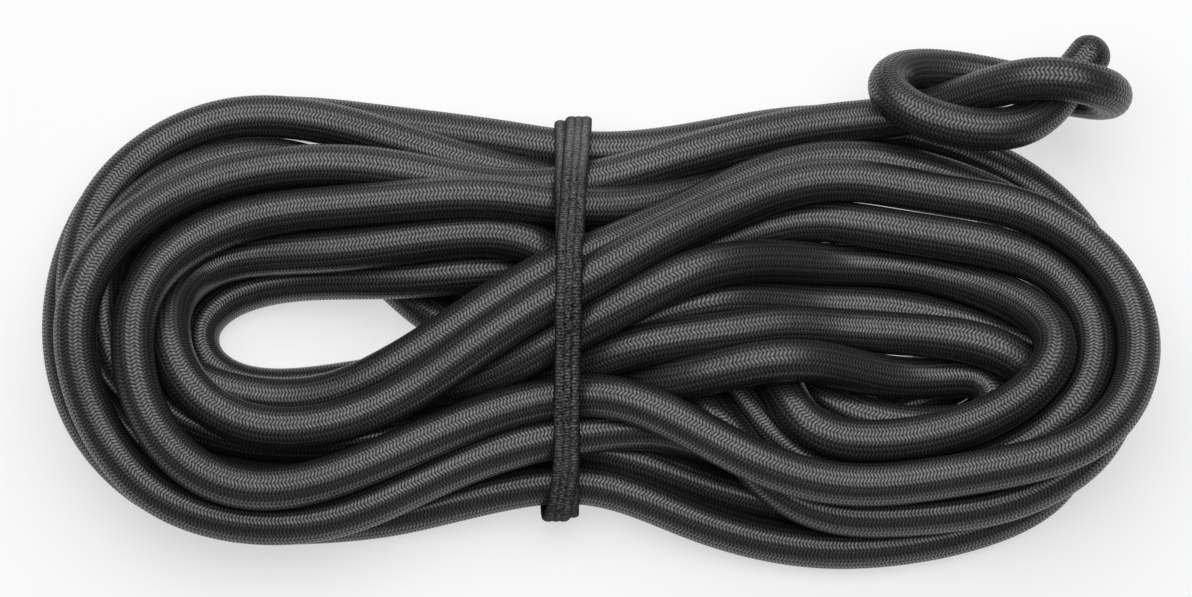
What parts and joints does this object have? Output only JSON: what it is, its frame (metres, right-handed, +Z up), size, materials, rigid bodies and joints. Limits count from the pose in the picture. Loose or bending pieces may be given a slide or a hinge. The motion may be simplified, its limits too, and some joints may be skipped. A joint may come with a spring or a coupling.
{
  "type": "bungee cord",
  "caption": "Hank of round braided elastic cord, drawn in at the waist by a woven tape, with its free end tied in a loose overhand knot.",
  "frame": {"origin": "on the surface the hank lies on, under the middle of the whole hank", "axes": "+X along the hank towards the knotted free end, +Y across it towards the knot's side, +Z up"},
  "size_m": [0.2148, 0.1058, 0.0416],
  "materials": {
    "sheath": "satin braid",
    "core": "matte",
    "seal": "melted, slightly glossy",
    "tape": "matte weave"
  },
  "bodies": {
    "hank": {"hank_sheath": "sheath", "knot_sheath": "sheath", "hank_core": "core", "knot_core": "core", "inner_end_seal": "seal", "free_end_seal": "seal"},
    "tie": {"tie_tape": "tape"}
  },
  "joints": [
    {"name": "tie_slide", "type": "slide", "parent": "hank", "child": "tie", "axis": [1, 0, 0], "range_m": [-0.003, 0.003]}
  ]
}
